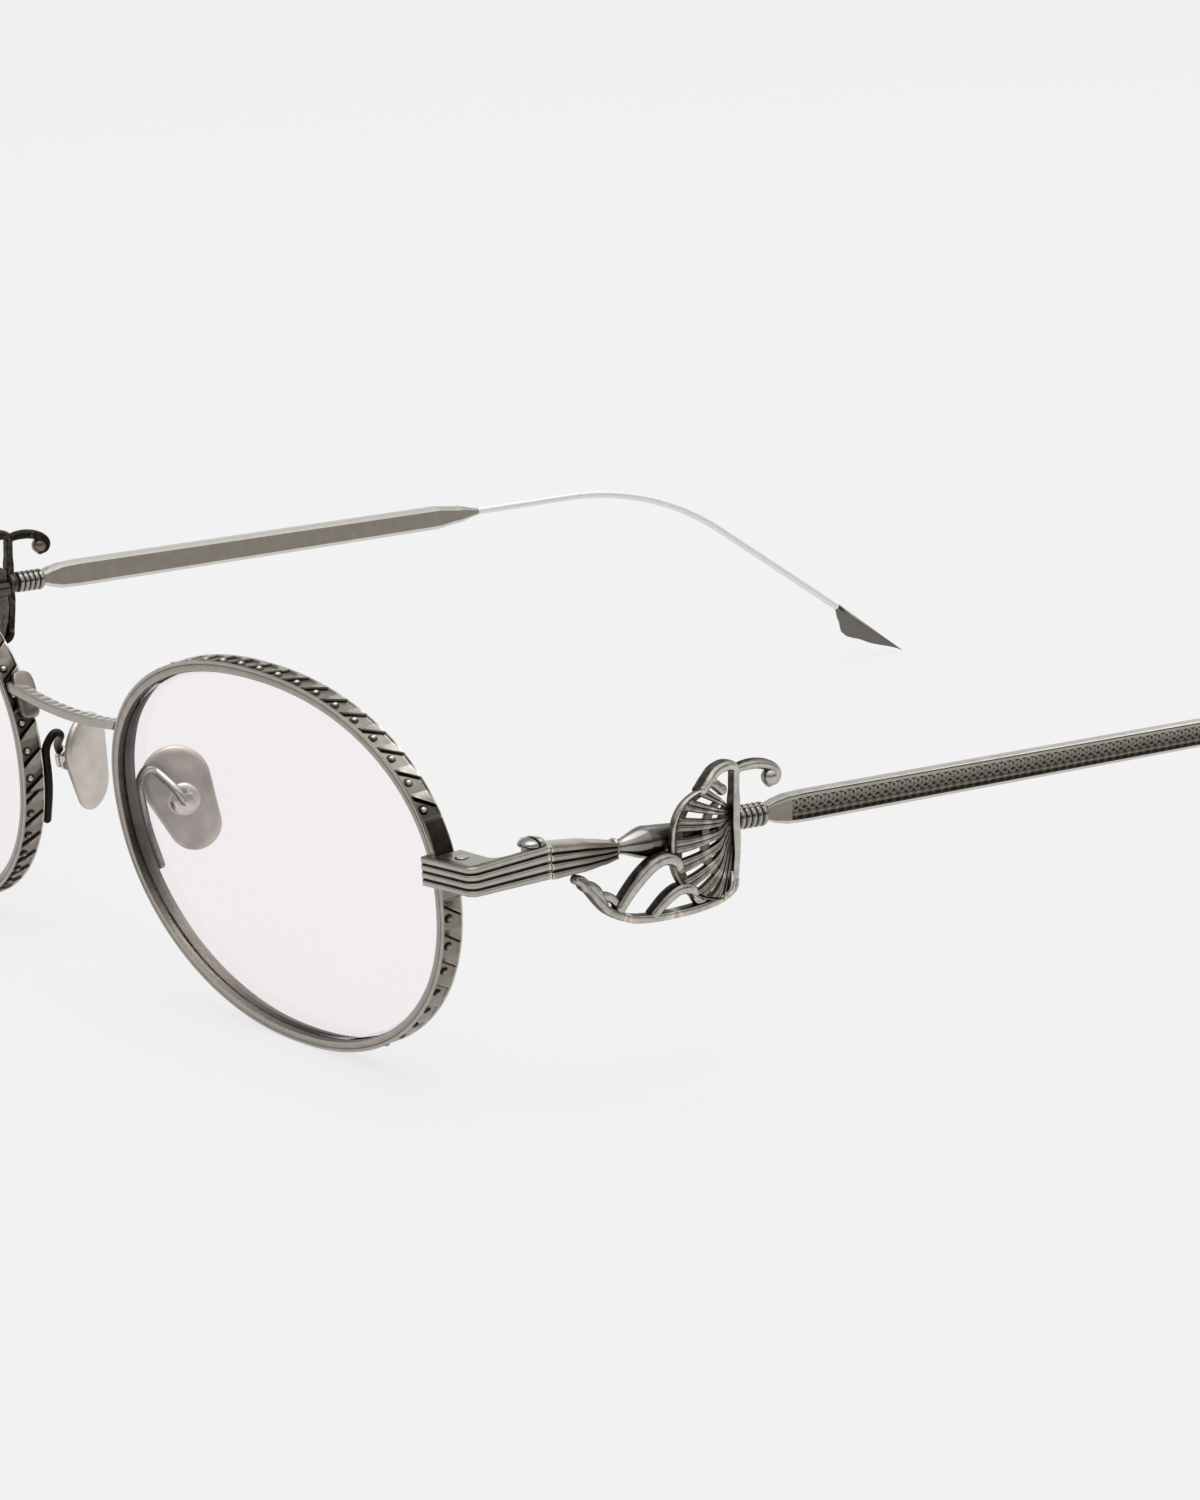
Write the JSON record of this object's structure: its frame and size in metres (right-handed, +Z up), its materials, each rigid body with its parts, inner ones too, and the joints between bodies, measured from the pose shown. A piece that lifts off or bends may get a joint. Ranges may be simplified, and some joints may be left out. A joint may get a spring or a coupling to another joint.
{
  "type": "sunglasses",
  "caption": "Oval metal sunglasses with pale lenses, ribbed end pieces, folding sabre-shaped temples with pierced shell guards, thin ear wires and rocking nose pads.",
  "frame": {"origin": "middle of the bounding box on the floor, which the rim bottoms and the temple tips stand on", "axes": "+X is the side named right_, which is on the right when the front is seen and on the wearer's left, +Y runs back along the open temples, +Z is up; the wearer looks along -Y"},
  "size_m": [0.1254, 0.1488, 0.0344],
  "materials": {
    "aged_silver": "antique silver, satin with dark recesses",
    "dark_silver": "oxidised silver, polished",
    "bright_wire": "polished",
    "pad_metal": "satin",
    "lens": "polished, nearly clear with a faint pink tint"
  },
  "bodies": {
    "front": {"bridge": "aged_silver", "right_rim": "aged_silver", "left_rim": "aged_silver", "right_lens": "lens", "left_lens": "lens", "right_end_piece": "aged_silver", "left_end_piece": "aged_silver", "right_closing_block": "aged_silver", "left_closing_block": "aged_silver", "right_rim_screw": "dark_silver", "left_rim_screw": "dark_silver", "right_hinge_screw": "dark_silver", "left_hinge_screw": "dark_silver", "right_pad_arm": "aged_silver", "left_pad_arm": "aged_silver", "right_pad_screw": "dark_silver", "left_pad_screw": "dark_silver"},
    "right_temple": {"right_hinge_block": "aged_silver", "right_grip": "dark_silver", "right_shell_guard": "aged_silver", "right_ferrule": "dark_silver", "right_blade": "aged_silver", "right_ear_wire": "bright_wire", "right_tip": "dark_silver"},
    "left_temple": {"left_hinge_block": "aged_silver", "left_grip": "dark_silver", "left_shell_guard": "aged_silver", "left_ferrule": "dark_silver", "left_blade": "aged_silver", "left_ear_wire": "bright_wire", "left_tip": "dark_silver"},
    "right_pad": {"right_nose_pad": "pad_metal"},
    "left_pad": {"left_nose_pad": "pad_metal"}
  },
  "joints": [
    {"name": "right_temple_fold", "type": "hinge", "parent": "front", "child": "right_temple", "pos_m": [0.06014, -0.06394, 0.02147], "axis": [0, -0.0785, 0.9969], "range_deg": [0, 86]},
    {"name": "left_temple_fold", "type": "hinge", "parent": "front", "child": "left_temple", "pos_m": [-0.06014, -0.06394, 0.02147], "axis": [0, 0.0785, -0.9969], "range_deg": [0, 78]},
    {"name": "right_pad_rock", "type": "hinge", "parent": "front", "child": "right_pad", "pos_m": [0.00989, -0.06647, 0.01696], "axis": [-0.4128, -0.8246, -0.3869], "range_deg": [-8, 8]},
    {"name": "left_pad_rock", "type": "hinge", "parent": "front", "child": "left_pad", "pos_m": [-0.00989, -0.06647, 0.01696], "axis": [0.4128, -0.8246, -0.3869], "range_deg": [-8, 8]}
  ]
}
